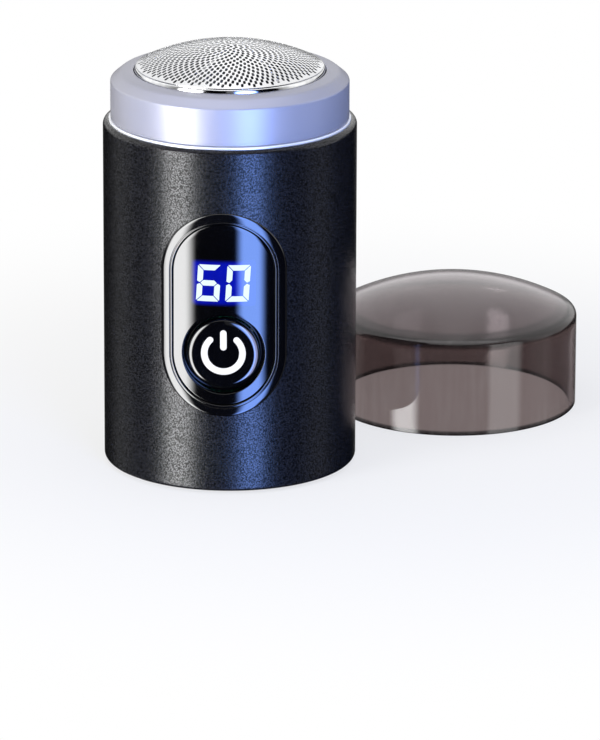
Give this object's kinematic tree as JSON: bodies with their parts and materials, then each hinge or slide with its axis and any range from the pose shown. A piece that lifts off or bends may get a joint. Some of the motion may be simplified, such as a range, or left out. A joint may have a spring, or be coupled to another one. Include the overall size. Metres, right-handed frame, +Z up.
{
  "type": "electric shaver",
  "caption": "Pocket rotary shaver: grained black cylinder, lavender head ring, domed slotted foil, oval gloss window with lit digits and a push button, and a smoked dust cap beside it.",
  "frame": {"origin": "centre of the base pad's underside, on the surface that the shaver stands on", "axes": "+Z up along the body's axis, -Y out of the window and the button, +Y out of the charging port; the cap stands to the right and behind, towards +X and +Y"},
  "size_m": [0.09, 0.0861, 0.0813],
  "materials": {
    "sleeve_coat": "black powder coat with a fine leather-like grain",
    "bright_ring": "bright polished ring",
    "black_plastic": "fine spark-eroded moulding",
    "pad_rubber": "soft matt rubber",
    "seal_rubber": "smooth rubber",
    "screw_steel": "zinc-plated screws",
    "magnet_nickel": "nickel-plated magnets",
    "lip_seal": "red silicone",
    "chassis_plastic": "off-white moulding",
    "gloss_black": "piano-black gloss",
    "panel_gloss": "deep gloss panel",
    "digit_glow": "lit cool-white segments",
    "board_green": "green solder mask",
    "chip_epoxy": "black moulded epoxy",
    "ceramic_parts": "small ceramic parts with tinned ends",
    "lamp_resin": "clear yellow resin",
    "display_body": "white light box",
    "switch_steel": "pressed steel switch",
    "socket_steel": "nickel-plated shell",
    "cell_wrap": "blue shrink wrap over the cell",
    "nickel_strip": "nickel",
    "motor_steel": "drawn steel can",
    "endbell_plastic": "ivory moulding",
    "ferrite": "dark grey ferrite",
    "bush_bronze": "sintered bronze",
    "copper_strip": "sprung copper strip",
    "wire_red": "soft insulation",
    "wire_yellow": "soft insulation",
    "wire_dark": "soft insulation",
    "button_gloss": "gloss black with a bright edge",
    "icon_glow": "lit white mark",
    "shaft_steel": "ground steel",
    "lamination": "stacked steel sheets",
    "winding_copper": "enamelled copper wire",
    "coupler_plastic": "white acetal",
    "spring_steel": "spring wire",
    "cutter_steel": "stamped stainless steel",
    "ring_anodised": "lavender-blue satin anodising",
    "rim_chrome": "polished chrome",
    "foil_steel": "bright electroformed foil with slots",
    "keeper_steel": "plated steel ring",
    "cap_smoke": "clear smoked plastic"
  },
  "bodies": {
    "root": {"sleeve": "sleeve_coat", "accent_ring": "bright_ring", "base_cover": "black_plastic", "base_pad": "pad_rubber", "base_seal": "seal_rubber", "base_screws": "screw_steel", "top_deck": "black_plastic", "deck_magnets": "magnet_nickel", "shaft_seal": "lip_seal", "motor_screws": "screw_steel", "chassis_front": "chassis_plastic", "chassis_rear": "chassis_plastic", "chassis_screws": "screw_steel", "window_bezel": "gloss_black", "window_panel": "panel_gloss", "digit_lights": "digit_glow", "button_well": "gloss_black", "main_board": "board_green", "board_chips": "chip_epoxy", "board_passives": "ceramic_parts", "status_leds": "lamp_resin", "display_module": "display_body", "tact_switch": "switch_steel", "usb_board": "board_green", "usb_socket": "socket_steel", "usb_tongue": "black_plastic", "port_trim": "gloss_black", "battery_cell": "cell_wrap", "battery_terminal": "nickel_strip", "battery_tabs": "nickel_strip", "motor_can": "motor_steel", "motor_endbell": "endbell_plastic", "motor_magnets": "ferrite", "motor_bushes": "bush_bronze", "motor_brushes": "copper_strip", "battery_wires": "wire_red", "motor_wires": "wire_yellow", "charge_wires": "wire_dark"},
    "button": {"power_button": "button_gloss", "button_icon": "icon_glow", "switch_plunger": "black_plastic"},
    "spindle": {"motor_shaft": "shaft_steel", "motor_armature": "lamination", "motor_windings": "winding_copper", "motor_commutator": "copper_strip", "drive_coupler": "coupler_plastic", "cutter_spring": "spring_steel"},
    "cutter": {"cutter_hub": "black_plastic", "cutter_plate": "cutter_steel", "cutter_blades": "cutter_steel"},
    "head": {"head_ring": "ring_anodised", "foil_rim": "rim_chrome", "foil": "foil_steel", "foil_carrier": "black_plastic", "head_keeper": "keeper_steel", "head_seal": "seal_rubber"},
    "cap": {"dust_cap": "cap_smoke"}
  },
  "joints": [
    {"name": "button_press", "type": "slide", "parent": "root", "child": "button", "axis": [0, 1, 0], "range_m": [0, 0.0005], "stiffness_N_per_m": 1200, "springref_m": -0.0005},
    {"name": "spindle_spin", "type": "hinge", "parent": "root", "child": "spindle", "pos_m": [0, 0, 0.0427], "axis": [0, 0, 1], "continuous": true},
    {"name": "cutter_float", "type": "slide", "parent": "spindle", "child": "cutter", "axis": [0, 0, 1], "range_m": [-0.0005, 0], "stiffness_N_per_m": 400, "springref_m": 0.002, "deforming": ["cutter_spring"]},
    {"name": "head_lift", "type": "slide", "parent": "root", "child": "head", "axis": [0, 0, 1], "range_m": [0, 0.03]},
    {"name": "cap_lift", "type": "slide", "parent": "root", "child": "cap", "axis": [0, 0, 1], "range_m": [0, 0.06]}
  ]
}
